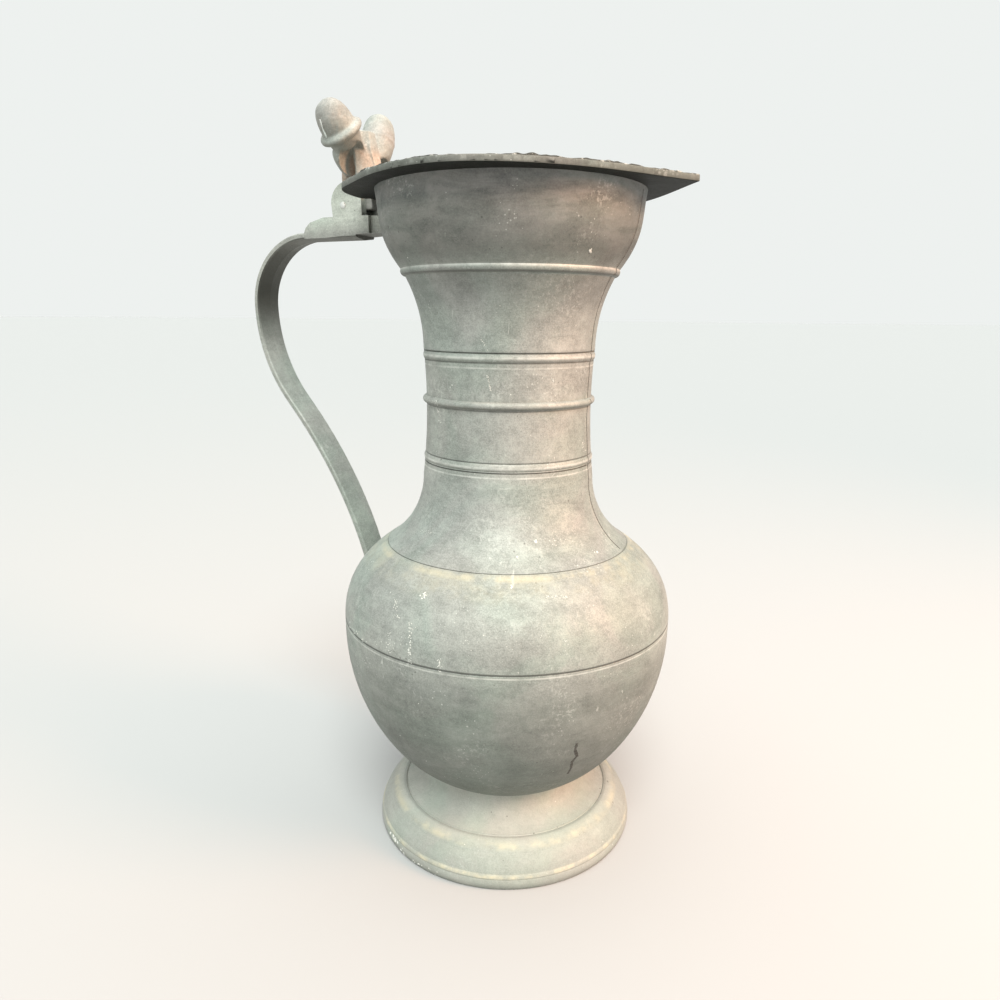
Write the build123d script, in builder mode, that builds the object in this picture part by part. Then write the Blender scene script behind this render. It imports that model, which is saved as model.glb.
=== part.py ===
"""Lidded pewter flagon: round bowl, waisted neck, strap handle, heart lid, acorn thumbpiece.

Frame: millimetres, +Z up, origin at the middle of the foot's resting plane.
+X points to the tip of the lid, the handle and the hinge are at -X.
"""

from build123d import *
import os
from math import cos, radians, sin

os.makedirs("parts", exist_ok=True)

# Heights of the castings, stacked from the floor up
foot_height = 27.0
lower_bowl_height = 71.6
upper_bowl_height = 31.1
shoulder_height = 27.9
neck_height = 51.2
flare_height = 28.7
collar_height = 29.3

# Radii of the outside
foot_radius = 56.3
throat_radius = 33.0
base_disc_radius = 20.0
belly_radius = 68.9
shoulder_radius = 50.3
neck_radius = 35.0
waist_radius = 33.3
neck_top_radius = 34.3
flare_radius = 42.1
mouth_radius = 51.9

# Sheet and surface detail
wall = 2.4
shoulder_slope = 33.0          # degrees below level where neck and bowl meet
shoulder_fullness = 1.25       # how far the bowl stays wide above the belly groove
floor_drop = 5.5               # base disc below the throat
belly_drop = 4.6               # widest place of the bowl below the belly groove
lower_bowl_curve = 84.4        # radius of the bowl's side below the widest place
lower_bowl_turn = 34.0         # degrees of that curve
groove_depth = 0.45
bead_radius = 1.5
bead_height = 30.9             # middle of the bead above the straight neck's start
low_reed = 7.8                 # middle of the reeds above the straight neck's start
high_reed = 48.3
reed_half = 1.4                # half the height of a reed
reed_proud = 0.4               # how far a reed stands out
reed_gap = 1.75                # from a reed's middle to the grooves beside it
fillet_gap = 3.6               # from a reed's middle to the fine line below it
band_half = 1.6                # flat band between flare and collar
band_proud = 0.8
collar_start = 51.5            # degrees above level where the collar leaves the band
collar_end = 78.7              # degrees above level at the mouth
collar_fullness = 1.6          # how far the collar keeps its first direction
mouth_fullness = 0.9

# Foot moulding
foot_rim_height = 5.3
foot_step_height = 13.2
foot_step_radius = 51.2
foot_groove_height = 16.5
foot_groove_radius = 44.7
foot_rim_round = 1.1           # how far the rim's foot is rounded in
foot_rim_lip = 0.7             # how far the rim's top is inside its widest place
foot_band_start = 98.5         # degrees from level, outwards anticlockwise
foot_ledge_start = 123.5
foot_throat_lean = 87.0
foot_reed_half = 1.1
foot_reed_proud = 0.35

# Handle
strap_width = 14.0
strap_edge = 2.4               # thickness at the strap's edges
strap_ridge = 0.9              # how far the inner ridge stands out
strap_bevel = 0.5              # worn edges
strap_start = 16.0             # overlap of the strap's level run with the block
strap_drop = 12.0              # top of the strap below the mouth
bow_radius = 28.6              # quarter turn at the top of the handle
bow_reach = 123.0              # outermost place of the handle
grip_radius = 66.0
grip_turn = 40.0
heel_height = 9.0              # end of the handle above the belly groove
heel_slope = 74.0              # degrees below level at the lower end
heel_bite = 3.2                # the strap's middle ends this far inside the belly radius
block_front = 60.5
block_back = 83.0
block_rise = 5.8               # block's top above the strap's top
block_depth = 6.9
block_steps = ((7.0, 1.8), (9.4, 3.9))    # behind the block's back, below its top
strut_width = 10.0
joint_bite = 1.0               # overlap of joined forms inside one casting

# Hinge
hinge_reach = 72.8             # pin axis behind the vessel's axis
hinge_drop = 1.8               # pin axis below the mouth
ear_radius = 8.5
ear_shift = 2.7                # middle of the ear's round in front of the pin
ear_lift = 0.8                 # middle of the ear's round above the pin
ear_front = 63.7
ear_thickness = 3.6
ear_round = 2.0                # the round's highest place behind the ear's middle
ear_root = 0.7                 # taper at the ear's root
pin_radius = 1.2
pin_head_radius = 1.9
pin_head_height = 0.7
pin_head_bevel = 0.5
pin_head_edge = 0.35
pin_seat = 0.02                # radial play of the fixed pin in the ears
pin_clearance = 0.06           # radial play of the knuckle on the pin
side_clearance = 0.3
knuckle_radius = 4.6
knuckle_back = 3.2             # back of the stalk behind the pin axis

# Lid
lid_thickness = 2.2
lid_tip_reach = 71.5
lid_half_width = 63.8
lid_back_reach = 65.0
lid_shoulder = (42.0, 41.5)    # place on the side between widest place and tip
lid_quarter = (47.0, 41.2)     # place on the rounded back
lid_notch_reach = 61.2
lid_notch_clearance = 0.4
lid_boss_radius = 38.0
lid_boss_height = 0.9
lid_boss_taper = 30.0
lid_tip_angle = 125.6          # degrees, direction of the edge as it leaves the tip

# Thumbpiece: each acorn's side, spread from the mid plane, height above the mouth to its cup's
# rim, splay in degrees and rim bead. The old casting is bent, so the two aren't quite alike.
acorns = ((-1, 14.2, 24.4, 42.0, 1.7), (1, 12.0, 24.6, 24.0, 0.35))
acorn_reach = 67.2             # middle of each cup's rim behind the vessel's axis
acorn_lean = 8.0               # degrees backwards
nut_radius = 7.2
nut_length = 13.0
nut_fullness = (1.3, 1.25)
cup_radius = 6.9
cup_foot_radius = 5.4
cup_depth = 7.0
rim_stand = 0.3                # share of the rim bead's radius by which its middle is outside the cup
arm_radii = (3.2, 6.7, 6.0)    # at the root, in the bend and under the cup
arm_bend = 0.55                # share of the arm's length at its thickest place
arm_heading = (-1.2, 1.0, 0.4)    # direction in which an arm leaves its root: front, side, up
arm_root_reach = 72.4
arm_root_spread = 1.4
fork_height = 12.5             # root of the arms above the mouth
# Outline of the web between the acorns, from the lid up: behind the axis, above the mouth
web_outline = ((58.3, 2.2), (58.3, 16.6), (60.8, 21.4), (63.7, 25.4), (69.0, 21.2))
tongue_depth = 3.6             # tongue below the mouth, in the lid's notch
wedge_length = 22.0
wedge_width = 11.0
wedge_end_width = 5.0
wedge_height = 2.6

# Levels and places worked out from the sizes above
throat_z = foot_height
base_z = throat_z - floor_drop
belly_z = throat_z + lower_bowl_height
shoulder_z = belly_z + upper_bowl_height
neck_z = shoulder_z + shoulder_height
flare_z = neck_z + neck_height
collar_z = flare_z + flare_height
mouth_z = collar_z + collar_height
waist_z = neck_z + bead_height
hinge_x = -hinge_reach
hinge_z = mouth_z - hinge_drop
lid_top = mouth_z + lid_thickness
knuckle_width = strap_width - 2 * ear_thickness - 2 * side_clearance
strap_top_z = mouth_z - strap_drop
strap_mid_z = strap_top_z - strap_edge / 2
bow_x = -bow_reach + strap_edge / 2 + bow_radius
heel_z = belly_z + heel_height
block_top = strap_top_z + block_rise
ear_x = hinge_x + ear_shift
ear_z = hinge_z + ear_lift
slot_z = hinge_z - knuckle_radius - side_clearance


def heading(angle):
    """Direction in an outline, in degrees from level outwards."""
    return cos(radians(angle)), sin(radians(angle))


shoulder_heading = heading(180 - shoulder_slope)


def inset(edge, places, backwards=False):
    """Points one wall inside an outline, read along it from bottom to top."""
    points = []
    for place in places:
        share = 1 - place if backwards else place
        point = edge @ share
        along = edge % share * (-1 if backwards else 1)
        points.append((point.X - along.Y * wall, point.Y + along.X * wall))
    return points


def lower_bowl_side():
    """Outline of the bowl from the belly groove down to the rim of the base disc."""
    widest = (belly_radius, belly_z - belly_drop)
    Line((belly_radius, belly_z), widest)
    side = JernArc(widest, (0, -1), lower_bowl_curve, -lower_bowl_turn)
    under = TangentArc(side @ 1, (throat_radius, throat_z), tangent=side % 1)
    floor = TangentArc(under @ 1, (base_disc_radius, base_z), tangent=under % 1)
    return side, under, floor


def upper_bowl_side():
    """Outline of the shoulder of the bowl, from the belly groove up to the neck."""
    return Spline(
        (belly_radius, belly_z),
        (shoulder_radius, shoulder_z),
        tangents=[(0, 1), shoulder_heading],
        tangent_scalars=[shoulder_fullness, 1],
    )


def neck_side():
    """Outline of the neck and the collar, from the shoulder groove up to the mouth."""
    start = (neck_radius, neck_z)
    shoulder = TangentArc(start, (shoulder_radius, shoulder_z), tangent=(0, -1))
    neck = ThreePointArc(start, (waist_radius, waist_z), (neck_top_radius, flare_z))
    flare = TangentArc(neck @ 1, (flare_radius, collar_z), tangent=(0, 1))
    collar = Spline(
        flare @ 1,
        (mouth_radius, mouth_z),
        tangents=[heading(collar_start), heading(collar_end)],
        tangent_scalars=[collar_fullness, mouth_fullness],
    )
    return shoulder, neck, flare, collar


def shoulder_inner():
    """Inner corner of the joint between neck and bowl."""
    return (
        shoulder_radius - wall * shoulder_heading[1],
        shoulder_z + wall * shoulder_heading[0],
    )


def ring_line(radius, height, turn=360.0):
    """A turned line round the outside."""
    with BuildSketch(Plane.XZ) as section:
        with Locations((radius, height)):
            Rectangle(groove_depth, groove_depth, rotation=45)
    revolve(section.sketch, axis=Axis.Z, revolution_arc=turn, mode=Mode.SUBTRACT)


def ring_bead(radius, height, size, turn=360.0):
    """A round bead standing out from the outside."""
    with BuildSketch(Plane.XZ) as section:
        with Locations((radius, height)):
            Circle(size)
    revolve(section.sketch, axis=Axis.Z, revolution_arc=turn)


def ring_reed(radius, height, half, proud, turn=360.0):
    """A low round reed, a shallow slice of a circle, on the outside."""
    slice_radius = (half**2 + proud**2) / (2 * proud)
    ring_bead(radius + proud - slice_radius, height, slice_radius, turn)


def reeded_lines(radius, height, turn):
    """A reed between two turned lines, with a fine line below."""
    ring_reed(radius, height, reed_half, reed_proud, turn)
    for away in (reed_gap, -reed_gap, -fillet_gap):
        ring_line(radius, height + away, turn)


def neck_casting(turn):
    """One half of the neck, made in the part that is open; turn gives the side."""
    with BuildSketch(Plane.XZ) as section:
        with BuildLine():
            shoulder, neck, flare, collar = neck_side()
            skin = [shoulder_inner()]
            skin += inset(shoulder, (0.25, 0.5, 0.75), backwards=True)
            skin += inset(neck, (0, 0.5))
            skin += inset(flare, (0, 0.5))
            skin += inset(collar, (0, 0.35, 0.7))
            skin += [(mouth_radius - wall, mouth_z)]
            inside = Spline(skin)
            Line((shoulder_radius, shoulder_z), inside @ 0)
            Line((mouth_radius, mouth_z), inside @ 1)
        make_face()
    revolve(section.sketch, axis=Axis.Z, revolution_arc=turn)
    ring_bead(waist_radius, waist_z, bead_radius, turn)
    ring_reed(flare_radius, collar_z, band_half, band_proud, turn)
    reeded_lines(low_reed_radius, neck_z + low_reed, turn)
    reeded_lines(high_reed_radius, neck_z + high_reed, turn)
    with BuildSketch(Plane.XZ) as hollow:
        with BuildLine():
            bore = Spline(skin)
            Polyline(bore @ 1, (0, mouth_z), (0, (bore @ 0).Y), bore @ 0)
        make_face()
    revolve(hollow.sketch, axis=Axis.Z, revolution_arc=turn, mode=Mode.SUBTRACT)


# Outside of the whole vessel as one closed body, used to trim what is soldered to it
with BuildPart() as outside:
    with BuildSketch(Plane.XZ):
        with BuildLine():
            lower_bowl_side()
            upper_bowl_side()
            neck_side()
            Polyline((mouth_radius, mouth_z), (0, mouth_z), (0, base_z), (base_disc_radius, base_z))
        make_face()
    revolve(axis=Axis.Z)

# Radius of the neck where its reeds run round it
with BuildLine():
    neck_line = neck_side()[1]
low_reed_radius = (neck_line @ (low_reed / neck_height)).X
high_reed_radius = (neck_line @ (high_reed / neck_height)).X

with BuildPart() as neck_left_half:
    neck_casting(-180)
neck_left_half.part.label = "neck_left_half"

with BuildPart() as neck_right_half:
    neck_casting(180)
neck_right_half.part.label = "neck_right_half"

with BuildPart() as bowl_upper:
    with BuildSketch(Plane.XZ):
        with BuildLine():
            dome = upper_bowl_side()
            skin = [(belly_radius - wall, belly_z)] + inset(dome, (0.25, 0.5, 0.75)) + [shoulder_inner()]
            inside = Spline(skin)
            Line(dome @ 0, inside @ 0)
            Line(dome @ 1, inside @ 1)
        make_face()
    revolve(axis=Axis.Z)
    ring_line(shoulder_radius, shoulder_z)
bowl_upper.part.label = "bowl_upper"

with BuildPart() as bowl_lower:
    with BuildSketch(Plane.XZ):
        with BuildLine():
            side, under, floor = lower_bowl_side()
            skin = [(base_disc_radius, base_z + wall)]
            skin += inset(floor, (0.5,), backwards=True)
            skin += inset(under, (0, 0.5), backwards=True)
            skin += inset(side, (0, 0.35, 0.7), backwards=True)
            skin += [(belly_radius - wall, belly_z - belly_drop), (belly_radius - wall, belly_z)]
            inside = Spline(skin)
            Line((belly_radius, belly_z), inside @ 1)
            Line((base_disc_radius, base_z), inside @ 0)
        make_face()
    revolve(axis=Axis.Z)
    ring_line(belly_radius, belly_z)
bowl_lower.part.label = "bowl_lower"

with BuildPart() as base_disc:
    with BuildSketch(Plane.XY.offset(base_z)):
        Circle(base_disc_radius)
    extrude(amount=wall)
base_disc.part.label = "base_disc"

with BuildPart() as foot:
    with BuildSketch(Plane.XZ):
        with BuildLine():
            rim_foot = (foot_radius - foot_rim_round, 0)
            rim_top = (foot_radius - foot_rim_lip, foot_rim_height)
            step = (foot_step_radius, foot_step_height)
            groove = (foot_groove_radius, foot_groove_height)
            throat = (throat_radius, throat_z + wall)
            rim = ThreePointArc(rim_foot, (foot_radius, foot_rim_height / 2), rim_top)
            band = TangentArc(rim_top, step, tangent=heading(foot_band_start))
            ledge = TangentArc(step, groove, tangent=heading(foot_ledge_start))
            cavetto = TangentArc(throat, groove, tangent=heading(-foot_throat_lean))
            skin = [(foot_radius - foot_rim_round - wall, 0)]
            skin += inset(band, (0.1, 0.7))
            skin += inset(cavetto, (0.1, 0.5, 0.9), backwards=True)
            skin += [(throat_radius - wall, throat_z + wall)]
            inside = Spline(skin)
            Line(rim_foot, inside @ 0)
            Line(throat, inside @ 1)
        make_face()
    revolve(axis=Axis.Z)
    ring_line(foot_groove_radius, foot_groove_height)
    ring_reed(foot_radius - foot_rim_lip, foot_rim_height, foot_reed_half, foot_reed_proud)
    add(outside.part, mode=Mode.SUBTRACT)
foot.part.label = "foot"

# Strap path in the mid plane: level run, quarter bow, long grip curve, then down to the bowl
with BuildLine(Plane.XZ) as strap_path:
    run = Line((-block_back + strap_start, strap_mid_z), (bow_x, strap_mid_z))
    bow = JernArc(run @ 1, run % 1, bow_radius, 90)
    grip = JernArc(bow @ 1, bow % 1, grip_radius, grip_turn)
    heel = (-belly_radius + heel_bite, heel_z)
    Spline(grip @ 1, heel, tangents=[grip % 1, heading(-heel_slope)])

with BuildPart() as handle:
    with BuildSketch(Plane(strap_path.wires()[0] @ 0, x_dir=(0, 1, 0), z_dir=(-1, 0, 0))):
        with BuildLine():
            half, deep = strap_width / 2, strap_edge / 2
            strap_outline = Polyline(
                (0, -deep),
                (half - strap_bevel, -deep),
                (half, strap_bevel - deep),
                (half, deep - strap_bevel),
                (half - strap_bevel, deep),
                (0, deep + strap_ridge),
            )
            mirror(strap_outline, about=Plane.YZ)
        make_face()
    sweep(path=strap_path.wires()[0])
    with BuildSketch(Plane.XZ):
        with BuildLine():
            Polyline(
                (-block_front, block_top - block_depth),
                (-block_front, block_top),
                (-block_back, block_top),
                *[(-block_back - back, block_top - drop) for back, drop in block_steps],
                (bow_x, strap_top_z),
                (bow_x, strap_top_z - strap_edge),
                (-block_back, strap_top_z - strap_edge),
                close=True,
            )
        make_face()
        with BuildLine():
            ear_back = (ear_x - ear_radius, ear_z)
            ear_peak = (ear_x - ear_round, ear_z + (ear_radius**2 - ear_round**2) ** 0.5)
            front_top = (-ear_front, ear_z + (ear_radius**2 - (ear_x + ear_front) ** 2) ** 0.5)
            ThreePointArc(front_top, ear_peak, ear_back)
            Polyline(
                ear_back,
                (ear_x - ear_radius + ear_root, block_top - joint_bite),
                (-ear_front, block_top - joint_bite),
                front_top,
            )
        make_face()
    extrude(amount=strap_width / 2, both=True)
    with BuildSketch(Plane.XZ):
        with BuildLine():
            strut_end = block_front - joint_bite
            Polyline(
                (-strut_end - 2 * joint_bite, block_top - block_depth),
                (-flare_radius, block_top - block_depth),
                (-flare_radius, block_top),
                (-strut_end - 2 * joint_bite, block_top),
                close=True,
            )
        make_face()
    extrude(amount=strut_width / 2, both=True)
    with BuildSketch(Plane.XZ):
        with BuildLine():
            slot_front, slot_back = joint_bite - block_front, ear_x - ear_radius - joint_bite
            slot_top = ear_z + 2 * ear_radius
            Polyline(
                (slot_front, slot_z),
                (slot_front, slot_top),
                (slot_back, slot_top),
                (slot_back, slot_z),
                close=True,
            )
        make_face()
    extrude(amount=strap_width / 2 - ear_thickness, both=True, mode=Mode.SUBTRACT)
    with BuildSketch(Plane.XZ):
        with Locations((hinge_x, hinge_z)):
            Circle(pin_radius + pin_seat)
    extrude(amount=strap_width, both=True, mode=Mode.SUBTRACT)
    add(outside.part, mode=Mode.SUBTRACT)
handle.part.label = "handle"

pin_end = strap_width / 2 + pin_head_height
with BuildPart() as hinge_pin:
    with BuildSketch(Plane((hinge_x, 0, hinge_z), x_dir=(0, 0, 1), z_dir=(1, 0, 0))):
        with BuildLine():
            pin_side = Polyline(
                (0, pin_end),
                (pin_head_radius - pin_head_bevel, pin_end),
                (pin_head_radius, pin_end - pin_head_edge),
                (pin_head_radius, strap_width / 2),
                (pin_radius, strap_width / 2),
                (pin_radius, 0),
            )
            mirror(pin_side, about=Plane.XZ)
            Line((0, pin_end), (0, -pin_end))
        make_face()
    revolve(axis=Axis((hinge_x, 0, hinge_z), (0, 1, 0)))
hinge_pin.part.label = "hinge_pin"

notch_half = strap_width / 2 + lid_notch_clearance
with BuildPart() as lid:
    with BuildSketch(Plane.XY.offset(mouth_z)):
        with BuildLine():
            edge = Spline(
                (lid_tip_reach, 0),
                lid_shoulder,
                (0, lid_half_width),
                (-lid_quarter[0], lid_quarter[1]),
                (-lid_back_reach, 0),
                tangents=[heading(lid_tip_angle), (0, -1)],
            )
            mirror(edge, about=Plane.XZ)
        make_face()
        with Locations((-lid_notch_reach - lid_back_reach / 2, 0)):
            Rectangle(lid_back_reach, 2 * notch_half, mode=Mode.SUBTRACT)
    extrude(amount=lid_thickness)
    with BuildSketch(Plane.XY.offset(lid_top)):
        Circle(lid_boss_radius)
    extrude(amount=lid_boss_height, taper=lid_boss_taper)
lid.part.label = "lid"


def acorn(side, spread, height, splay, rim_bead):
    """One acorn in its cup, with its arm, made in the part that is open."""
    lean, tilt = radians(acorn_lean), radians(splay)
    up = Vector(-sin(lean), side * sin(tilt) * cos(lean), cos(tilt) * cos(lean))
    middle = Vector(-acorn_reach, side * spread, mouth_z + height)
    across = Vector(1, 0, 0).cross(up).normalized()
    with BuildSketch(Plane(middle, x_dir=across, z_dir=across.cross(up))) as section:
        with BuildLine():
            nut = Spline(
                (nut_radius, 0), (0, nut_length), tangents=[(0, 1), (-1, 0)], tangent_scalars=nut_fullness
            )
            cup = TangentArc((cup_radius, 0), (cup_foot_radius, -cup_depth), tangent=(0, -1))
            Polyline(nut @ 1, (0, -cup_depth), cup @ 1)
            Line(cup @ 0, nut @ 0)
        make_face()
        with Locations((cup_radius + rim_stand * rim_bead, 0)):
            Circle(rim_bead)
    revolve(section.sketch, axis=Axis(middle, up))
    root = Vector(-arm_root_reach, side * arm_root_spread, mouth_z + fork_height)
    cup_foot = middle - up * (cup_depth - joint_bite)
    front, sideways, rise = arm_heading
    with BuildLine():
        arm = Spline(root, cup_foot, tangents=[(front, side * sideways, rise), up])
    rings = []
    for share, size in zip((0, arm_bend, 1), arm_radii):
        with BuildSketch(Plane(arm @ share, x_dir=(1, 0, 0), z_dir=arm % share)) as ring:
            Circle(size)
        rings.append(ring.sketch)
    loft(rings)


with BuildPart() as thumbpiece:
    with BuildSketch(Plane.XZ):
        with Locations((hinge_x, hinge_z)):
            Circle(knuckle_radius)
        with BuildLine():
            Polyline(
                (hinge_x, mouth_z - tongue_depth),
                (-lid_notch_reach, mouth_z - tongue_depth),
                (-lid_notch_reach, lid_top),
                *[(-reach, mouth_z + rise) for reach, rise in web_outline],
                (-arm_root_reach - arm_radii[0], mouth_z + fork_height),
                (hinge_x - knuckle_back, hinge_z),
                close=True,
            )
        make_face()
    extrude(amount=knuckle_width / 2, both=True)
    with BuildSketch(Plane.XY.offset(lid_top)):
        with BuildLine():
            wedge_end = wedge_length - lid_notch_reach
            Polyline(
                (-lid_notch_reach, -wedge_width / 2),
                (-lid_notch_reach, wedge_width / 2),
                (wedge_end, wedge_end_width / 2),
                (wedge_end, -wedge_end_width / 2),
                close=True,
            )
        make_face()
    extrude(amount=wedge_height)
    for sizes in acorns:
        acorn(*sizes)
    with BuildSketch(Plane.XZ):
        with Locations((hinge_x, hinge_z)):
            Circle(pin_radius + pin_clearance)
    extrude(amount=strap_width, both=True, mode=Mode.SUBTRACT)
thumbpiece.part.label = "thumbpiece"

vessel_parts = [neck_left_half, neck_right_half, bowl_upper, bowl_lower, base_disc, foot, handle, hinge_pin]
lid_parts = [lid, thumbpiece]
for piece in vessel_parts + lid_parts:
    export_step(piece.part, f"parts/{piece.part.label}.step")
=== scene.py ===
"""Studio scene of the lidded pewter flagon: old cast pewter, dull, stained and worn."""

import math
import random

import bmesh
import bpy
from mathutils import Matrix, Vector, noise
from mathutils.bvhtree import BVHTree


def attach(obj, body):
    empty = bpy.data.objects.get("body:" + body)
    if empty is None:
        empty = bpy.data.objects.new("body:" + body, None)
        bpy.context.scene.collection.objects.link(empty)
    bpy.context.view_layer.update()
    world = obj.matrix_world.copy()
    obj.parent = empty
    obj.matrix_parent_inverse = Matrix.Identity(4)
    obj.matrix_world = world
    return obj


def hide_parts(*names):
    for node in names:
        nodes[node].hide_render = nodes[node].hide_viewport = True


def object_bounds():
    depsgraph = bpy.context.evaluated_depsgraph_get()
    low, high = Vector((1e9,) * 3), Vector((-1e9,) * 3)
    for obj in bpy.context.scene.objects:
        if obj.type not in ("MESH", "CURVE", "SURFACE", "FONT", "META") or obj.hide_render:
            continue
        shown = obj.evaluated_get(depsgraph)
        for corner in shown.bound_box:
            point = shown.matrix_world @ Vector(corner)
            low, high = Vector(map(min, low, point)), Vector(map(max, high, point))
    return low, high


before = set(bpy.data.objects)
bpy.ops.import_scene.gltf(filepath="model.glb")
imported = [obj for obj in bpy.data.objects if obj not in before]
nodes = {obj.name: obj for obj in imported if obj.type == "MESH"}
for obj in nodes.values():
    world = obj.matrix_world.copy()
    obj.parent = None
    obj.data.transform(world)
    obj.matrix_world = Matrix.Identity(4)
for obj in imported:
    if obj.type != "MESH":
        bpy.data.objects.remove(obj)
cad_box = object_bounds()
scene = bpy.context.scene
chance = random.Random(11)

# Camera, in the part's frame: metres and degrees
camera_place = Vector((0.12433, -0.28726, 0.22082))
camera_heading = Vector((-0.4067, 0.9135, 0))     # level direction that it looks in
camera_pitch = math.radians(13.548)               # below level
camera_roll = math.radians(0.437)                 # the flagon leans to the right
camera_lens = 27.49
sensor_width = 36.0
photo_width = 1000

up = Vector((0, 0, 1))
towards_camera = -camera_heading
to_the_right = camera_heading.cross(up)
ahead = camera_heading.normalized() * math.cos(camera_pitch) - up * math.sin(camera_pitch)
level_right = ahead.cross(up).normalized()
level_top = level_right.cross(ahead)
camera_right = level_right * math.cos(camera_roll) + level_top * math.sin(camera_roll)
camera_top = level_top * math.cos(camera_roll) - level_right * math.sin(camera_roll)


def add_camera():
    """Camera at the photograph's place."""
    data = bpy.data.cameras.new("camera")
    data.lens = camera_lens
    data.sensor_width = sensor_width
    data.clip_start = 0.01
    camera = bpy.data.objects.new("camera", data)
    axes = Matrix((camera_right, camera_top, -ahead)).transposed()
    camera.matrix_world = Matrix.Translation(camera_place) @ axes.to_4x4()
    scene.collection.objects.link(camera)
    scene.camera = camera


def add_light(name, place, aim, size, spread, power, colour):
    """Soft square light that looks at aim."""
    data = bpy.data.lights.new(name, "AREA")
    data.size = size
    data.spread = math.radians(spread)
    data.energy = power
    data.color = colour
    light = bpy.data.objects.new(name, data)
    light.location = place
    light.rotation_euler = (Vector(aim) - Vector(place)).to_track_quat("-Z", "Y").to_euler()
    scene.collection.objects.link(light)


def add_sky(name, towards, strength, spread, colour):
    """Wide even light from a direction."""
    data = bpy.data.lights.new(name, "SUN")
    data.energy = strength
    data.angle = math.radians(spread)
    data.color = colour
    light = bpy.data.objects.new(name, data)
    light.rotation_euler = (-towards).to_track_quat("-Z", "Y").to_euler()
    scene.collection.objects.link(light)


class Shader:
    """A few short words for building a node material; distances inside it are in millimetres."""

    def __init__(self, name, metallic, specular=0.5):
        self.material = bpy.data.materials.new(name)
        self.material.use_nodes = True
        self.tree = self.material.node_tree
        self.surface = self.tree.nodes["Principled BSDF"]
        self.surface.inputs["Metallic"].default_value = metallic
        self.surface.inputs["Specular IOR Level"].default_value = specular
        coordinates = self.add("ShaderNodeTexCoord").outputs["Object"]
        self.place = self.vector("SCALE", coordinates, scale=1000)
        split = self.add("ShaderNodeSeparateXYZ")
        self.link(self.place, split.inputs[0])
        self.x, self.y, self.z = split.outputs
        facing = self.add("ShaderNodeSeparateXYZ")
        self.link(self.add("ShaderNodeTexCoord").outputs["Normal"], facing.inputs[0])
        self.backwards = facing.outputs[0]
        self.upwards = facing.outputs[2]

    def add(self, kind, **settings):
        node = self.tree.nodes.new(kind)
        for name, value in settings.items():
            setattr(node, name, value)
        return node

    def link(self, source, socket):
        if isinstance(source, bpy.types.NodeSocket):
            self.tree.links.new(source, socket)
        else:
            socket.default_value = source

    def vector(self, operation, first, second=None, scale=None):
        node = self.add("ShaderNodeVectorMath", operation=operation)
        self.link(first, node.inputs[0])
        if second is not None:
            self.link(second, node.inputs[1])
        if scale is not None:
            self.link(scale, node.inputs["Scale"])
        return node.outputs["Value" if operation == "LENGTH" else "Vector"]

    def math(self, operation, first, second=0.0, clamp=False):
        node = self.add("ShaderNodeMath", operation=operation, use_clamp=clamp)
        self.link(first, node.inputs[0])
        self.link(second, node.inputs[1])
        return node.outputs[0]

    def times(self, first, second):
        return self.math("MULTIPLY", first, second)

    def sum(self, *values):
        """Adds values; each may be a socket or a (socket, amount) pair of noise round its middle."""
        total = 0.0
        for value in values:
            if isinstance(value, tuple):
                value = self.times(self.math("SUBTRACT", value[0], 0.5), value[1])
            total = self.math("ADD", value, total)
        return total

    def range(self, value, low, high, to_low=0.0, to_high=1.0):
        """Turns low..high into to_low..to_high with soft ends."""
        node = self.add("ShaderNodeMapRange", interpolation_type="SMOOTHSTEP")
        for socket, number in zip(node.inputs, (value, low, high, to_low, to_high)):
            self.link(number, socket)
        return node.outputs[0]

    def around(self, stretch=1.0, height=1.0):
        """Place as a ring of one size at every height, so that marks run round or up the vessel."""
        level = self.add("ShaderNodeCombineXYZ")
        self.link(self.x, level.inputs[0])
        self.link(self.y, level.inputs[1])
        ring = self.vector("SCALE", self.vector("NORMALIZE", level.outputs[0]), scale=stretch)
        rise = self.add("ShaderNodeCombineXYZ")
        self.link(self.times(self.z, height), rise.inputs[2])
        return self.vector("ADD", ring, rise.outputs[0])

    def noise(self, vector, scale=1.0, detail=3.0, roughness=0.55, distortion=0.0):
        node = self.add("ShaderNodeTexNoise")
        self.link(vector, node.inputs["Vector"])
        self.link(scale, node.inputs["Scale"])
        self.link(detail, node.inputs["Detail"])
        self.link(roughness, node.inputs["Roughness"])
        self.link(distortion, node.inputs["Distortion"])
        return node.outputs[0]

    def cells(self, vector, scale):
        """Distance to the middle of the nearest of scattered cells."""
        node = self.add("ShaderNodeTexVoronoi")
        self.link(vector, node.inputs["Vector"])
        self.link(scale, node.inputs["Scale"])
        return node.outputs["Distance"]

    def mix(self, factor, first, second, blend="MIX"):
        node = self.add("ShaderNodeMix", data_type="RGBA", blend_type=blend)
        self.link(factor, node.inputs[0])
        self.link(first, node.inputs[6])
        self.link(second, node.inputs[7])
        return node.outputs[2]

    def near(self, height, half):
        """One at a height of the vessel, falling to nothing half above and below it."""
        away = self.math("ABSOLUTE", self.math("SUBTRACT", self.z, height))
        return self.range(away, 0, half, 1, 0)

    def between(self, low, high, soft):
        """One between two heights of the vessel, with soft ends."""
        above = self.range(self.z, low - soft, low + soft)
        below = self.range(self.z, high - soft, high + soft, 1, 0)
        return self.times(above, below)

    def most(self, *values):
        """The greatest of several masks."""
        total = values[0]
        for value in values[1:]:
            total = self.math("MAXIMUM", total, value)
        return total

    def bump(self, height, strength, distance, normal=None):
        node = self.add("ShaderNodeBump")
        self.link(height, node.inputs["Height"])
        self.link(strength, node.inputs["Strength"])
        self.link(distance, node.inputs["Distance"])
        if normal is not None:
            self.link(normal, node.inputs["Normal"])
        return node.outputs[0]


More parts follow.
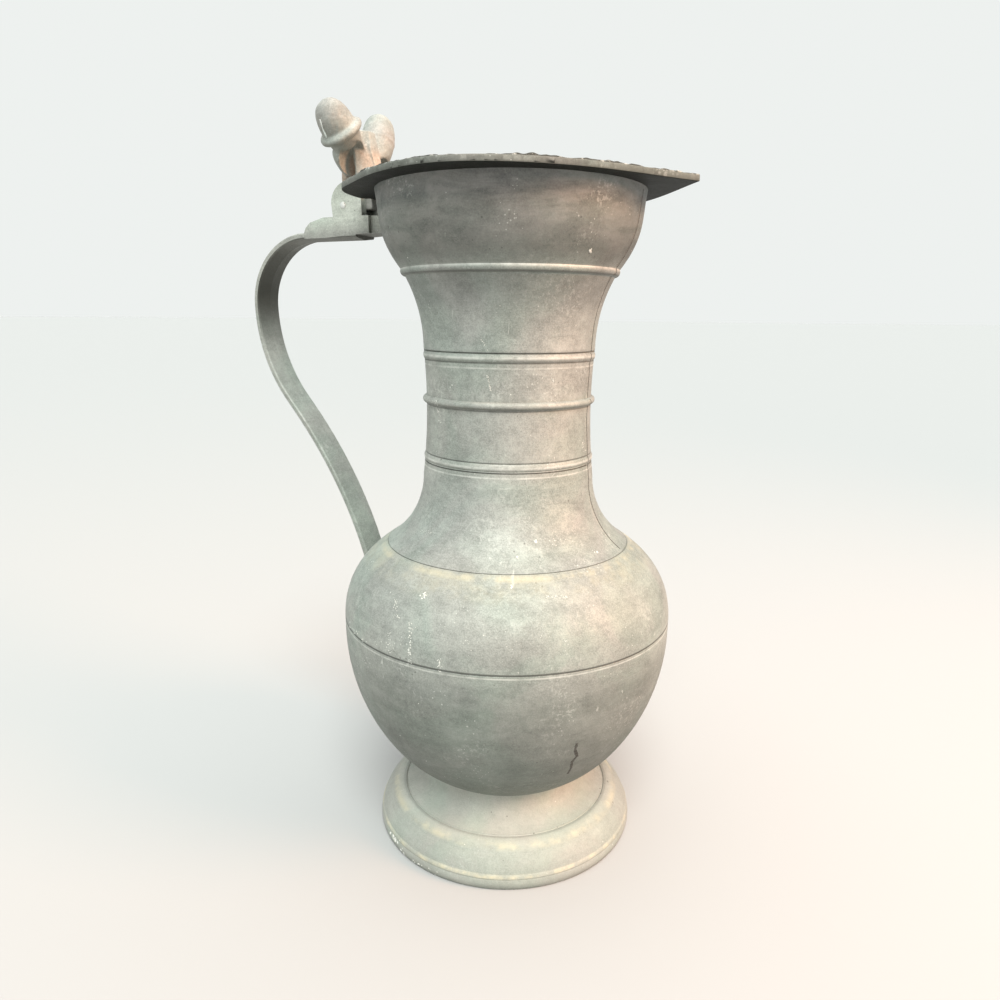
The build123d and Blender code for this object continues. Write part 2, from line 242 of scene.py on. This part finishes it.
def pewter(
    name,
    dark,
    light,
    pale=(0.72, 0.73, 0.68, 1),
    patches=1.0,
    lathe=0.6,
    metallic=0.4,
    specular=0.5,
    dirt_and_shade_grooves=(),
    highlight_lines=(),
    residue=(),
    tone_light_and_shade_zones=(),
    # Underside colour and amount: painted shade on faces that look down.
    underside_shade_colour=(0.10, 0.105, 0.095, 1),
    underside_shade_amount=0.55,
    wipes_and_sheen=None,
    groove_dirt_and_shade=0.6,
    speckle=1.0,
    underside_shade_top=0.1,
    inner_face_shade=None,
    turned=True,
):
    """Dull cast pewter: clouds of tarnish, brushed marks, turning lines, specks, dirt and painted shade
    in the grooves, painted highlight on the reeds, painted light and shade in bands of height, painted
    shade on faces that look down.
    """
    s = Shader(name, metallic, specular)
    cloud = s.noise(s.place, 0.03, 5, 0.6, 0.5)
    marks = s.around(2.4, 0.15) if turned else s.vector("MULTIPLY", s.place, (0.03, 0.09, 0.09))
    brushed = s.noise(marks, 1, 4, 0.65, 1.2)
    blotch = s.noise(s.place, 0.14, 5, 0.68, 0.3)
    fine = s.noise(s.place, 0.45, 4, 0.75)
    grain = s.noise(s.place, 1.9, 3, 0.75)
    turning = s.noise(s.around(3.0, 3.2), 1, 2, 0.6)
    tarnish = s.sum(
        0.5, (cloud, 0.8 * patches), (brushed, 0.5), (blotch, 0.5), (fine, 0.5), (grain, 0.95),
        (turning, 0.25 * lathe),
    )
    tarnish = s.math("ADD", tarnish, 0.0, clamp=True)
    colour = s.mix(tarnish, dark, light)
    green = s.range(s.noise(s.place, 0.022, 4, 0.55, 0.8), 0.42, 0.62)
    colour = s.mix(s.times(green, 0.5), colour, (0.86, 1.0, 0.95, 1), "MULTIPLY")
    # Bands of height multiply the colour: partly the metal's own tone, partly painted light and shade; a
    # fifth entry fades a band out away from the middle plane.
    for low, high, soft, tint, *inner in tone_light_and_shade_zones:
        edge = s.between(low, high, soft)
        if inner:
            edge = s.times(edge, s.range(s.math("ABSOLUTE", s.y), inner[0], inner[0] + 3, 1, 0))
        colour = s.mix(edge, colour, tint, "MULTIPLY")
    # Lighter strokes round the vessel in a band of heights: wipe marks, which on the collar also stand
    # in for its broad highlight, painted highlight.
    if wipes_and_sheen:
        low, high, soft, tint, amount = wipes_and_sheen
        strokes = s.range(s.noise(s.around(2.2, 0.13), 1, 5, 0.66, 0.5), 0.40, 0.66)
        colour = s.mix(s.times(s.times(strokes, s.between(low, high, soft)), amount), colour, tint)
    bloom_patches = s.range(s.noise(s.place, 0.05, 3, 0.6), 0.5, 0.68)
    bloom = s.times(bloom_patches, s.range(s.noise(s.place, 0.7, 3, 0.7), 0.52, 0.62))
    colour = s.mix(s.times(bloom, 0.28 * speckle), colour, pale)
    speck_size = s.range(s.noise(s.place, 0.06, 2), 0.50, 0.74, 0.0, 0.22)
    specks = s.math("LESS_THAN", s.cells(s.place, 0.62), speck_size)
    colour = s.mix(s.times(specks, 0.5 * speckle), colour, pale)
    marks = s.around(42, 0.12) if turned else s.vector("MULTIPLY", s.place, (0.2, 0.9, 0.9))
    strokes = s.range(s.noise(marks, 1, 2, 0.5, 0.6), 0.68, 0.76)
    strokes = s.times(strokes, s.range(s.noise(s.place, 0.09, 2), 0.55, 0.65))
    colour = s.mix(s.times(strokes, 0.4), colour, pale)
    pit_size = s.range(s.noise(s.place, 0.04, 2), 0.5, 0.7, 0.0, 0.13)
    pits = s.math("LESS_THAN", s.cells(s.place, 0.31), pit_size)
    colour = s.mix(s.times(pits, 0.55), colour, (0.08, 0.08, 0.07, 1))
    if residue:
        crust = s.most(*(s.times(s.near(height, half), amount) for height, half, amount in residue))
        crust = s.times(crust, s.range(s.noise(s.place, 0.09, 4, 0.7), 0.40, 0.62, 0.12, 1))
        colour = s.mix(s.times(crust, 0.48), colour, (0.64, 0.58, 0.40, 1))
    # A dark line at each groove height: dirt and painted shade in the grooves and under the beads.
    if dirt_and_shade_grooves:
        dirt_and_shade = s.most(*(s.near(height, half) for height, half in dirt_and_shade_grooves))
        colour = s.mix(s.times(dirt_and_shade, groove_dirt_and_shade), colour, (0.06, 0.062, 0.055, 1))
    # Pale lines along the crests of the reeds and beads: painted highlight.
    if highlight_lines:
        shine = s.most(*(s.near(height, half) for height, half in highlight_lines))
        shine = s.times(shine, s.range(blotch, 0.35, 0.6, 0.35, 1.0))
        colour = s.mix(s.times(shine, 0.6), colour, pale)
    # Faces that look towards +X in a band of heights, the handle's inner faces towards the body, go
    # nearly black: painted shade.
    if inner_face_shade:
        low, high, soft, tint = inner_face_shade
        inner_face_shade_mask = s.times(s.range(s.backwards, 0.25, 0.65), s.between(low, high, soft))
        colour = s.mix(inner_face_shade_mask, colour, tint)
    # Faces that look down go towards the underside colour: painted shade under the parts.
    underside_shade_mask = s.times(s.range(s.upwards, -0.8, underside_shade_top, 1, 0), underside_shade_amount)
    colour = s.mix(underside_shade_mask, colour, underside_shade_colour)
    s.link(colour, s.surface.inputs["Base Color"])
    s.link(s.range(tarnish, 0, 1, 0.72, 0.56), s.surface.inputs["Roughness"])
    dents = s.bump(s.sum(blotch, (fine, 0.6)), 0.35, 0.0005)
    lines = s.bump(turning, 0.12 * lathe, 0.0002, dents)
    s.link(s.bump(grain, 0.3, 0.00018, lines), s.surface.inputs["Normal"])
    return s.material


def crumbly(name, dark, light, scale, low, high, roughness=0.85):
    """Rough mineral crust of two colours."""
    s = Shader(name, 0.0, 0.3)
    grain = s.noise(s.place, scale, 4, 0.75)
    colour = s.mix(s.range(grain, low, high), dark, light)
    s.link(colour, s.surface.inputs["Base Color"])
    s.link(roughness, s.surface.inputs["Roughness"])
    s.link(s.bump(grain, 0.6, 0.0003), s.surface.inputs["Normal"])
    return s.material


def dress(node, material):
    """The CAD node gets its finish."""
    for slot in nodes[node].material_slots:
        slot.material = material


depsgraph = bpy.context.evaluated_depsgraph_get()
skins = {name: BVHTree.FromObject(nodes[name], depsgraph) for name in nodes}
vessel_skins = ("neck_left_half", "neck_right_half", "bowl_upper", "bowl_lower", "foot")
above_all = 0.3          # height from which rays look down
outside_all = 0.12       # distance from the axis from which rays look inwards


def touch(start, direction, names=vessel_skins):
    """Point where a ray first meets the named nodes, and the normal there."""
    hits = [skins[name].ray_cast(start, direction) for name in names]
    hits = [hit for hit in hits if hit[0] is not None]
    if not hits:
        return None
    place, normal = min(hits, key=lambda hit: hit[3])[:2]
    return place, normal if normal.dot(direction) < 0 else -normal


def seen_at(x, y, names=vessel_skins):
    """Point of the surface, and its normal, that the photograph shows at x, y."""
    focal = camera_lens / sensor_width * photo_width
    middle = photo_width / 2
    sideways, upwards = camera_right * ((x - middle) / focal), camera_top * ((middle - y) / focal)
    return touch(camera_place, (ahead + sideways + upwards).normalized(), names)


def add_piece(name, points, faces, body, slot, *materials):
    """New piece that rides on a body."""
    mesh = bpy.data.meshes.new(name)
    mesh.from_pydata(points, [], faces)
    for material in materials:
        mesh.materials.append(material)
    mesh.shade_smooth()
    piece = bpy.data.objects.new(name, mesh)
    scene.collection.objects.link(piece)
    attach(piece, body)
    return piece


def strip_faces(rows):
    """Faces that join rows of equally many points."""
    width = len(rows[0])
    return [
        (row * width + i, row * width + i + 1, (row + 1) * width + i + 1, (row + 1) * width + i)
        for row in range(len(rows) - 1)
        for i in range(width - 1)
    ]


def casting_seam(name, turn, section, low, high, steps):
    """Low double ridge where the halves of the neck meet; section in millimetres, heights in metres."""
    outward = Vector((math.cos(turn), math.sin(turn), 0))
    along = Vector((-math.sin(turn), math.cos(turn), 0))
    rows = []
    for step in range(steps + 1):
        height = low + (high - low) * step / steps
        wear = 0.9 + 0.9 * noise.noise(Vector((turn, 0, height * 120)))
        drift = 0.0003 * noise.noise(Vector((3, turn, height * 60)))
        row = []
        for offset, rise in section:
            start = outward * 0.1 + along * (offset * 0.001 + drift) + up * height
            place = touch(start, -outward)[0]
            row.append(place + outward * (rise * 0.001 * (wear if rise > 0 else 1)))
        rows.append(row)
    faces = strip_faces(rows)
    piece = add_piece(name, [p for row in rows for p in row], faces, "vessel", "pewter_body", neck, dirt_and_shade)
    width = len(section) - 1
    # The middle faces, the groove between the two ridges, take the dark groove material: dirt and
    # painted shade.
    for face in piece.data.polygons:
        if face.index % width in (width // 2 - 1, width // 2):
            face.material_index = 1


def add_copy(node, name, body, material):
    """Piece that stands for a node, at first with the node's own shape."""
    mesh = nodes[node].data.copy()
    mesh.materials.clear()
    mesh.materials.append(material)
    piece = bpy.data.objects.new(name, mesh)
    scene.collection.objects.link(piece)
    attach(piece, body)
    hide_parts(node)
    return piece


def ball(middle, radii, lean=0.0, turn=0.0):
    """Mesh of a round with three radii, turned about X and then Z; millimetres and degrees."""
    work = bmesh.new()
    bmesh.ops.create_icosphere(work, subdivisions=3, radius=0.001)
    turned = Matrix.Rotation(math.radians(turn), 3, "Z") @ Matrix.Rotation(math.radians(lean), 3, "X")
    for vert in work.verts:
        vert.co = Vector(middle) * 0.001 + turned @ Vector([c * r for c, r in zip(vert.co, radii)])
    return work


def post(half, low, high):
    """Mesh of an upright block, the same on both sides; half is (x low, y low, x high, y high) rows."""
    work = bmesh.new()
    corners = [*half, *((x0, -y0, x1, -y1) for x0, y0, x1, y1 in reversed(half))]
    bottom = [work.verts.new(Vector((x0, y0, low)) * 0.001) for x0, y0, x1, y1 in corners]
    top = [work.verts.new(Vector((x1, y1, high)) * 0.001) for x0, y0, x1, y1 in corners]
    work.faces.new(bottom)
    work.faces.new(top)
    for i in range(len(corners)):
        work.faces.new((bottom[i], bottom[i - 1], top[i - 1], top[i]))
    bmesh.ops.recalc_face_normals(work, faces=work.faces)
    return work


def soften(piece, voxel, rounds, dent, shapes):
    """Melts the joints of a casting together and dents its skin; sizes are in millimetres.

    Each of the shapes, how and a mesh, is carved out or filled in first.
    """
    cutters = []
    for turn in range(2):
        remesh = piece.modifiers.new("melt", "REMESH")
        remesh.mode = "VOXEL"
        remesh.voxel_size = 0.001 * voxel
        if turn == 0:
            for how, work in shapes:
                shape_mesh = bpy.data.meshes.new("shape")
                work.to_mesh(shape_mesh)
                work.free()
                cutter = bpy.data.objects.new("shape", shape_mesh)
                scene.collection.objects.link(cutter)
                cutters.append(cutter)
                cut = piece.modifiers.new("carve", "BOOLEAN")
                cut.object = cutter
                cut.operation = how
    smooth = piece.modifiers.new("wear", "SMOOTH")
    smooth.factor = 0.5
    smooth.iterations = rounds
    worn = bpy.data.meshes.new_from_object(piece.evaluated_get(bpy.context.evaluated_depsgraph_get()))
    piece.modifiers.clear()
    for cutter in cutters:
        bpy.data.objects.remove(cutter)
    material = piece.data.materials[0]
    piece.data = worn
    worn.materials.clear()
    worn.materials.append(material)
    normals = [vertex.normal.copy() for vertex in worn.vertices]
    for vertex, normal in zip(worn.vertices, normals):
        hollow = max(0.0, noise.noise(vertex.co * 260)) + 0.5 * max(0.0, noise.noise(vertex.co * 700))
        vertex.co -= normal * 0.001 * dent * hollow
    worn.shade_smooth()


def wear_edges(piece, corners, corner_round, edge_round):
    """Draws in the back, rounds the upright edges near the corners, then every sharp edge.

    Sizes are in millimetres, and corners in metres.
    """
    back_starts, back_depth, drawn_in = 0.025, 0.035, 0.034
    work = bmesh.new()
    work.from_mesh(piece.data)
    for vert in work.verts:
        share = min(max((-vert.co.x - back_starts) / back_depth, 0), 1)
        vert.co.xy *= 1 - drawn_in * share * share * (3 - 2 * share)
    bmesh.ops.remove_doubles(work, verts=work.verts, dist=0.000002)
    bmesh.ops.dissolve_limit(work, angle_limit=math.radians(1), verts=work.verts, edges=work.edges)
    for corner in corners:
        upright = [
            edge for edge in work.edges
            if abs((edge.verts[0].co - edge.verts[1].co).z) > 0.0015
            and all((Vector(corner).xy - vert.co.xy).length < 0.0015 for vert in edge.verts)
        ]
        bmesh.ops.bevel(
            work, geom=upright, offset=0.001 * corner_round, segments=5, profile=0.5, affect="EDGES"
        )
    sharp = [
        edge for edge in work.edges
        if len(edge.link_faces) == 2 and edge.calc_face_angle() > math.radians(50)
    ]
    bmesh.ops.bevel(
        work, geom=sharp, offset=0.001 * edge_round, segments=3, profile=0.5, affect="EDGES",
        clamp_overlap=True,
    )
    bmesh.ops.triangulate(work, faces=[face for face in work.faces if len(face.verts) > 4])
    work.to_mesh(piece.data)
    work.free()


def lathe_pin(name, middle, profile, corners, body, slot, material):
    """Pin turned round the hinge axis, with hammered heads; profile is in millimetres."""
    rows = []
    for along, radius in profile:
        row = []
        for corner in range(corners + 1):
            angle = math.tau * (corner % corners) / corners
            hammered = 1 + 0.06 * noise.noise(Vector((math.cos(angle), math.sin(angle), along)) * 1.7)
            out = Vector((math.cos(angle), 0, math.sin(angle))) * radius * 0.001 * hammered
            row.append(Vector(middle) + out + Vector((0, along * 0.001, 0)))
        rows.append(row)
    return add_piece(name, [p for row in rows for p in row], strip_faces(rows), body, slot, material)


def lid_edge(turn):
    """Distance of the lid's edge from the vessel's axis in a direction."""
    near, far, precise = 0.045, 0.09, 0.00002
    while far - near > precise:
        middle = (near + far) / 2
        over = Vector((math.cos(turn) * middle, math.sin(turn) * middle, above_all))
        if touch(over, -up, ("lid",)):
            near = middle
        else:
            far = middle
    return near


def lid_crust(name, first, last, steps):
    """Broken crust of corrosion along the top of the lid's edge."""
    rows = []
    for step in range(steps + 1):
        turn = math.radians(first + (last - first) * step / steps)
        out = Vector((math.cos(turn), math.sin(turn), 0))
        edge = lid_edge(turn)
        top = touch(out * (edge - 0.0008) + up * above_all, -up, ("lid",))[0].z
        spot = out * edge * 1000
        ragged = noise.noise(spot * 0.35)
        coarse = noise.noise(spot * 0.09 + Vector((7, 0, 0)))
        rise = 0.001 * max(-0.15, 0.3 + 0.7 * coarse + 0.6 * ragged)
        width = 0.001 * (2.6 + 1.6 * coarse + 1.2 * noise.noise(spot * 0.5))
        chip = 0.0007 * max(0, noise.noise(spot * 0.22 + Vector((0, 5, 0))))
        rows.append([
            out * (edge - 0.00005 - chip) + up * (top - 0.0006),
            out * (edge - 0.0001 - chip) + up * (top + rise * 0.55),
            out * (edge - width * 0.35) + up * (top + rise),
            out * (edge - width * 0.7) + up * (top + rise * (0.7 + 0.5 * ragged)),
            out * (edge - width) + up * (top - 0.0002),
        ])
    add_piece(name, [p for row in rows for p in row], strip_faces(rows), "lid", "pewter_lid", corrosion)


def flecks(name, spots, body, slot, material):
    """Thin irregular spots lying on a surface; each is its middle, its normal, its size and height."""
    points, faces = [], []
    for place, normal, size, height in spots:
        across = normal.orthogonal().normalized()
        beside = normal.cross(across)
        start = len(points)
        corners = 9
        shape = [chance.uniform(0.65, 1.25) for _ in range(corners)]
        squash = chance.uniform(0.6, 1.0)
        for reach, rise in ((1.0, -0.00004), (0.6, height)):
            for corner in range(corners):
                angle = math.tau * corner / corners
                share = size * reach * shape[corner]
                out = across * (math.cos(angle) * share * squash) + beside * (math.sin(angle) * share)
                points.append(place + out + normal * rise)
        points.append(place + normal * height * 1.15)
        for corner in range(corners):
            after = (corner + 1) % corners
            inner = start + corners
            faces.append((start + corner, start + after, inner + after, inner + corner))
            faces.append((inner + corner, inner + after, inner + corners))
    points = [[min(max(c, low), high) for c, low, high in zip(point, *cad_box)] for point in points]
    add_piece(name, points, faces, body, slot, material)


def run(x0, y0, x1, y1, count, size, spread=1.2):
    """Spots scattered along a line of the photograph, sizes in millimetres."""
    spots = []
    for _ in range(count):
        share = chance.random()
        x = x0 + (x1 - x0) * share + chance.gauss(0, spread)
        y = y0 + (y1 - y0) * share + chance.gauss(0, spread)
        found = seen_at(x, y)
        if found:
            spots.append((*found, 0.001 * size * chance.uniform(0.4, 1.2), 0.0001))
    return spots


def thread(name, path, width, height, names, body, slot, material):
    """Fine ridge or crack along a path of the photograph; width and height in millimetres."""
    rows = []
    parts = 6
    for first, second in zip(path, path[1:]):
        for part in range(parts):
            step_x, step_y = second[0] - first[0], second[1] - first[1]
            x = first[0] + step_x * part / parts
            y = first[1] + step_y * part / parts
            place, normal = seen_at(x, y, names)
            along = seen_at(x + step_x * 0.1, y + step_y * 0.1, names)[0] - place
            side = normal.cross(along).normalized()
            wide = 0.0005 * width * chance.uniform(0.6, 1.2)
            high = 0.001 * height
            rows.append([
                place + side * wide - normal * 0.00005,
                place + side * wide * 0.5 + normal * high * 0.8,
                place + normal * high,
                place - side * wide * 0.5 + normal * high * 0.8,
                place - side * wide - normal * 0.00005,
            ])
    add_piece(name, [p for row in rows for p in row], strip_faces(rows), body, slot, material)


add_camera()

# Pale floor and soft studio light
floor_mesh = bpy.data.meshes.new("floor")
floor_half = 40.0
floor_mesh.from_pydata(
    [(x * floor_half, y * floor_half, 0) for x, y in ((-1, -1), (1, -1), (1, 1), (-1, 1))],
    [],
    [(0, 1, 2, 3)],
)
floor = bpy.data.objects.new("floor", floor_mesh)
floor_paint = bpy.data.materials.new("floor_paint")
floor_paint.use_nodes = True
floor_surface = floor_paint.node_tree.nodes["Principled BSDF"]
floor_surface.inputs["Base Color"].default_value = (0.415, 0.415, 0.41, 1)
floor_surface.inputs["Roughness"].default_value = 0.9
floor_mesh.materials.append(floor_paint)
scene.collection.objects.link(floor)

world = bpy.data.worlds.new("studio")
world.use_nodes = True
world.node_tree.nodes["Background"].inputs[0].default_value = (0.97, 1.0, 0.98, 1)
world.node_tree.nodes["Background"].inputs[1].default_value = 0.88
scene.world = world
scene.view_settings.view_transform = "Standard"

flagon_middle = Vector((0, 0, 0.17))
add_sky("overhead", up, 1.1, 60, (0.96, 1.0, 0.98))
add_sky("key", towards_camera * 0.85 + to_the_right * 0.05 + up * 1.2, 3.0, 30, (0.96, 1.0, 0.97))
warm_place = towards_camera * 0.35 + to_the_right * 0.95 + up * 0.65
add_light("warm_side", warm_place, flagon_middle, 0.45, 100, 3.9, (1.0, 0.52, 0.30))

# Finishes; grooves of dirt and painted shade and lines of painted highlight are (height, half height),
# residue adds its amount, zones of tone and painted light and shade are (low, high, softness, tint) with
# the half width where they fade, all in millimetres
body_dark = (0.16, 0.17, 0.157, 1)
body_light = (0.55, 0.56, 0.52, 1)
neck_dirt_and_shade = (
    (129.7, 0.18), (163.5, 0.35), (167.3, 0.5), (186.6, 0.5), (204.0, 0.35), (207.8, 0.55), (236.0, 0.5),
)
neck_shine = ((161.8, 0.5), (202.3, 0.5), (165.4, 0.9), (205.9, 0.9), (238.1, 0.9))
# The collar is painted darker, most at its top under the lid's edge: painted shade; the other bands
# darken the neck a little.
neck_tone_and_shade_zones = (
    (241.0, 270.0, 3.0, (0.55, 0.54, 0.535, 1)),
    (259.0, 270.0, 3.0, (0.76, 0.76, 0.80, 1)),
    (224.0, 235.0, 4.0, (0.84, 0.84, 0.85, 1)),
    (120.0, 152.0, 8.0, (0.90, 0.90, 0.90, 1)),
    (160.0, 206.0, 4.0, (0.94, 0.93, 0.92, 1)),
)
neck = pewter(
    "neck_pewter", body_dark, body_light, dirt_and_shade_grooves=neck_dirt_and_shade, highlight_lines=neck_shine, tone_light_and_shade_zones=neck_tone_and_shade_zones,
    # Strokes on the collar: wipe marks and painted highlight.
    wipes_and_sheen=(242.0, 270.0, 2.0, (0.44, 0.425, 0.395, 1), 0.34),
)
# The bowl is painted darker and bluer towards its bottom: painted shade on the belly that looks down.
bowl = pewter(
    "bowl_pewter", body_dark, (0.50, 0.515, 0.47, 1), dirt_and_shade_grooves=((98.9, 0.62),), highlight_lines=((97.5, 0.5),),
    residue=((128.4, 1.9, 1.0), (125.5, 5.5, 0.4)), groove_dirt_and_shade=0.9,
    tone_light_and_shade_zones=((20.0, 92.0, 8.0, (0.72, 0.74, 0.73, 1)), (10.0, 58.0, 16.0, (0.86, 0.90, 0.91, 1))),
    wipes_and_sheen=(20.0, 94.0, 4.0, (0.46, 0.47, 0.44, 1), 0.16),
)
# Faces of the foot that look down get a little painted shade.
foot = pewter(
    "foot_pewter", (0.31, 0.32, 0.285, 1), (0.53, 0.535, 0.48, 1), patches=0.6, metallic=0.1,
    dirt_and_shade_grooves=((16.5, 0.14),),
    residue=((15.0, 1.6, 0.9), (5.9, 1.5, 1.3)), underside_shade_amount=0.3, groove_dirt_and_shade=0.22, speckle=0.3,
    tone_light_and_shade_zones=((-5.0, 15.5, 1.0, (0.78, 0.78, 0.78, 1)),),
)
# The handle gets painted shade under its strap and, nearly black, on its inner faces that look towards
# the body.
handle = pewter(
    "handle_pewter", (0.17, 0.175, 0.16, 1), (0.50, 0.505, 0.46, 1), lathe=0, underside_shade_amount=0.75,
    tone_light_and_shade_zones=((256.5, 290.0, 4.0, (1.6, 1.65, 1.62, 1)),),
    inner_face_shade=(215.0, 256.0, 18.0, (0.045, 0.044, 0.035, 1)),
)
# The lid gets nearly black painted shade on its underside and on faces that look down or to the side.
lid_metal = pewter(
    "lid_pewter", (0.09, 0.09, 0.08, 1), (0.27, 0.27, 0.245, 1), lathe=0, metallic=0.0, specular=0.15,
    underside_shade_colour=(0.010, 0.011, 0.009, 1), underside_shade_amount=1.0, underside_shade_top=0.3, turned=False,
)
# The web and the near arm between the acorns are tinted pink in a band of heights: painted warm light;
# their undersides get painted shade.
cast = pewter(
    "thumbpiece_pewter", (0.17, 0.172, 0.158, 1), (0.56, 0.55, 0.515, 1), pale=(0.78, 0.75, 0.68, 1),
    patches=1.2, lathe=0, metallic=0.15, underside_shade_amount=0.5, underside_shade_colour=(0.14, 0.13, 0.11, 1),
    tone_light_and_shade_zones=((271.0, 286.0, 3.0, (1.36, 1.06, 0.94, 1), 4.0),),
)
# The pin's pewter is pale, partly its own bright metal and partly painted highlight for its glint; the
# acorn's seam uses it too.
pin_metal = pewter("pin_pewter_and_highlight", (0.6, 0.61, 0.59, 1), (0.85, 0.86, 0.84, 1), lathe=0, underside_shade_amount=0)
# Dark crumbly material for the seam's middle and the crack: dirt and painted shade.
dirt_and_shade = crumbly("groove_dirt_and_shade", (0.045, 0.045, 0.04, 1), (0.10, 0.10, 0.09, 1), 1.2, 0.4, 0.6)
corrosion = crumbly("corrosion", (0.06, 0.06, 0.052, 1), (0.52, 0.52, 0.47, 1), 0.45, 0.50, 0.66)
lime = crumbly("lime", (0.52, 0.52, 0.47, 1), (0.78, 0.78, 0.73, 1), 1.0, 0.4, 0.6)
for half in ("neck_left_half", "neck_right_half"):
    dress(half, neck)
for part in ("bowl_upper", "bowl_lower", "base_disc"):
    dress(part, bowl)
dress("foot", foot)
dress("handle", handle)

# Stand-ins with worn edges and melted joints
thumbpiece = add_copy("thumbpiece", "thumbpiece_casting", "lid", cast)
# Web between the acorns: half of its outline low and high, and what lies in front of it
web_corners = ((-66.0, -4.0, -70.0, -4.0), (-64.6, -8.3, -66.9, -7.0), (-57.6, -1.5, -62.0, -2.4))
web_front = ((-57.6, -7.0, -62.4, -7.0), (-54.0, -7.0, -54.0, -7.0))
casting_shapes = (
    ("DIFFERENCE", ball((-62.5, -10.6, 279.9), (7.3, 11.0, 7.8), 0, 24)),
    ("DIFFERENCE", ball((-64.6, 8.6, 277.6), (6.4, 5.1, 8.2))),
    ("DIFFERENCE", post(web_front, 272.5, 294.0)),
    ("UNION", post(web_corners, 270.5, 293.6)),
    ("UNION", ball((-67.2, -13.9, 290.9), (7.2, 7.2, 6.6), 42)),
    ("UNION", ball((-67.2, 11.8, 290.9), (7.0, 7.0, 7.6), -24)),
)
soften(thumbpiece, 0.42, 6, 0.3, casting_shapes)
lid_plate = add_copy("lid", "lid_plate", "lid", lid_metal)
wear_edges(lid_plate, ((-0.0627, 0.0072), (-0.0627, -0.0072)), 3.0, 0.5)
skins["lid"] = BVHTree.FromObject(lid_plate, bpy.context.evaluated_depsgraph_get())
pin_profile = [(7.68, 0.02), (7.62, 0.5), (7.45, 0.95), (7.2, 1.25), (6.98, 1.38), (6.95, 1.19)]
pin_profile += [(-along, radius) for along, radius in reversed(pin_profile)]
hinge = (-0.0728, 0, 0.265)
peened_pin = lathe_pin("peened_pin", hinge, pin_profile, 20, "vessel", "pin_metal", pin_metal)
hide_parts("hinge_pin")

# Traces of casting, corrosion and lime
seam_section = (
    (-1.2, -0.04), (-0.75, 0.22), (-0.35, 0.2), (0.03, 0.02), (0.35, 0.2), (0.75, 0.22), (1.2, -0.04),
)
casting_seam("front_seam", 0.0, seam_section, 0.1305, 0.2655, 270)
lid_crust("lid_crust", -164, 164, 640)
# Runs of lime: from x, y to x, y of the photograph, how many, their size and their spread
lime_runs = (
    (396, 600, 397, 618, 26, 0.28), (411, 622, 409, 666, 60, 0.26, 1.0),
    (439, 658, 440, 672, 26, 0.26, 0.9), (423, 592, 424, 598, 12, 0.4),
    (389, 632, 390, 652, 24, 0.24), (565, 640, 566, 660, 16, 0.26),
    (545, 596, 568, 598, 22, 0.26, 0.8), (420, 531, 442, 534, 16, 0.24, 0.8),
    (349, 624, 366, 642, 12, 0.4), (590, 249, 591, 252, 7, 0.75, 0.8),
    (487, 375, 491, 392, 24, 0.2, 0.6), (552, 372, 553, 384, 12, 0.2, 0.6),
    (436, 392, 438, 426, 22, 0.25, 2), (583, 440, 584, 450, 8, 0.3),
    (481, 339, 487, 350, 16, 0.18, 0.6), (450, 385, 451, 388, 4, 0.3),
    (535, 541, 536, 542, 6, 0.5, 0.9), (597, 551, 598, 552, 6, 0.45, 0.9),
    (511, 586, 512, 587, 5, 0.5, 0.7), (517, 556, 518, 557, 4, 0.4, 0.7),
    (360, 640, 640, 640, 40, 0.18, 9), (391, 833, 404, 856, 26, 0.8, 1.2),
    (406, 858, 440, 875, 16, 0.45, 1.0),
)
spots = [spot for line in lime_runs for spot in run(*line)]
scattered = 170
for _ in range(scattered):
    turn, height = chance.uniform(0, math.tau), chance.uniform(0.002, 0.262)
    out = Vector((math.cos(turn), math.sin(turn), 0))
    place, normal = touch(out * outside_all + up * height, -out)
    spots.append((place, normal, 0.001 * chance.uniform(0.1, 0.32), 0.00006))
flecks("lime_flecks", spots, "vessel", "pewter_body", lime)
# The crack is a low strip of the dark groove material: dirt and painted shade in it.
crack_path = ((577, 743), (575, 750), (577, 756), (572, 762), (571, 768), (567, 775))
thread("bowl_crack", crack_path, 1.7, 0.05, vessel_skins, "vessel", "pewter_body", dirt_and_shade)
# The acorn's seam is a fine ridge in the pale pin pewter: painted highlight along it.
acorn_path = ((320, 119), (323, 129), (328, 140))
thread("acorn_seam", acorn_path, 0.75, 0.4, ("thumbpiece",), "lid", "pewter_cast", pin_metal)
